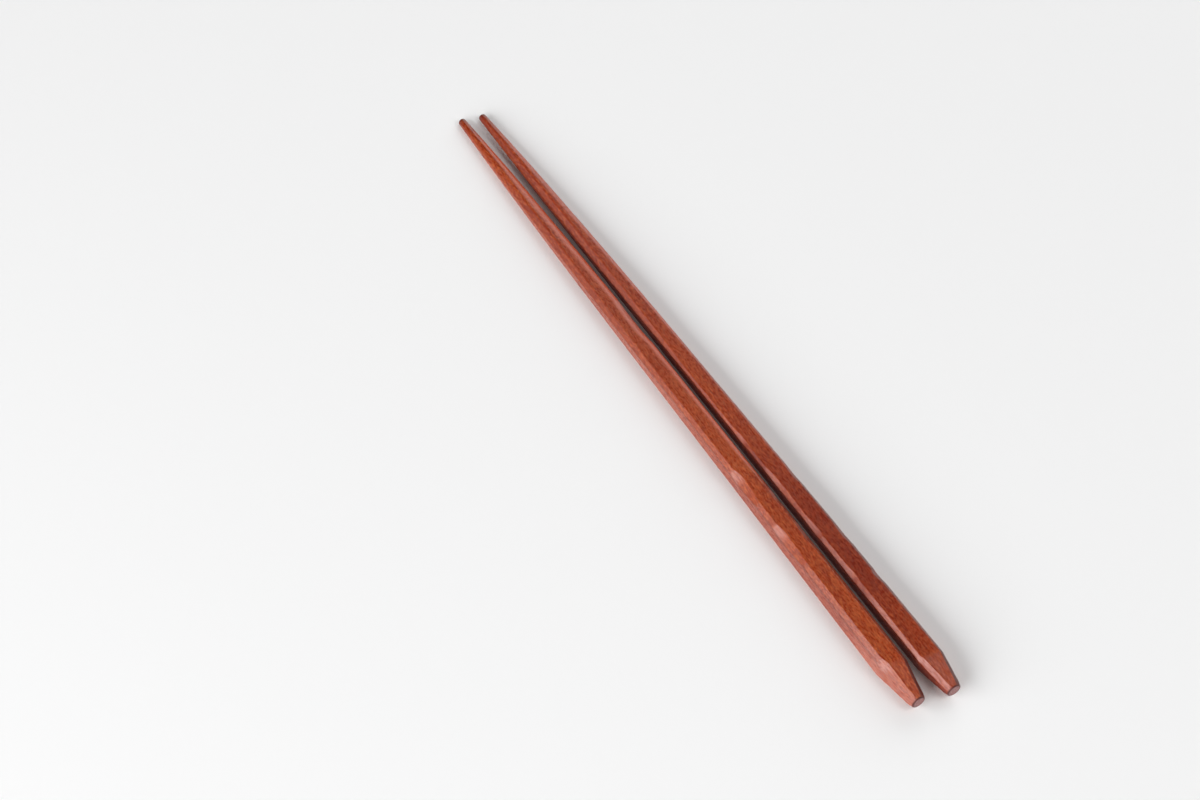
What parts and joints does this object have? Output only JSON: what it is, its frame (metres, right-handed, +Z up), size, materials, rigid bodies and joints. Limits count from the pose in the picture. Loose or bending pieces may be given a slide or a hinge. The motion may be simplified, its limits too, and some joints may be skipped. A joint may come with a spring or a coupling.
{
  "type": "pair of wooden chopsticks",
  "caption": "Pair of carved wooden chopsticks with round tips, bevelled shafts and faceted tapered ends, lying side by side.",
  "frame": {"origin": "centre of the pair's bounding box, at its underside, on the surface that it lies on", "axes": "+X from the round tips towards the thick ends, +Y from the near stick to the far one, +Z up"},
  "size_m": [0.2422, 0.0177, 0.0068],
  "materials": {
    "reddish_wood": "satin, reddish brown, fine grained, hand carved"
  },
  "bodies": {
    "root": {"near_chopstick": "reddish_wood", "far_chopstick": "reddish_wood"}
  },
  "joints": []
}
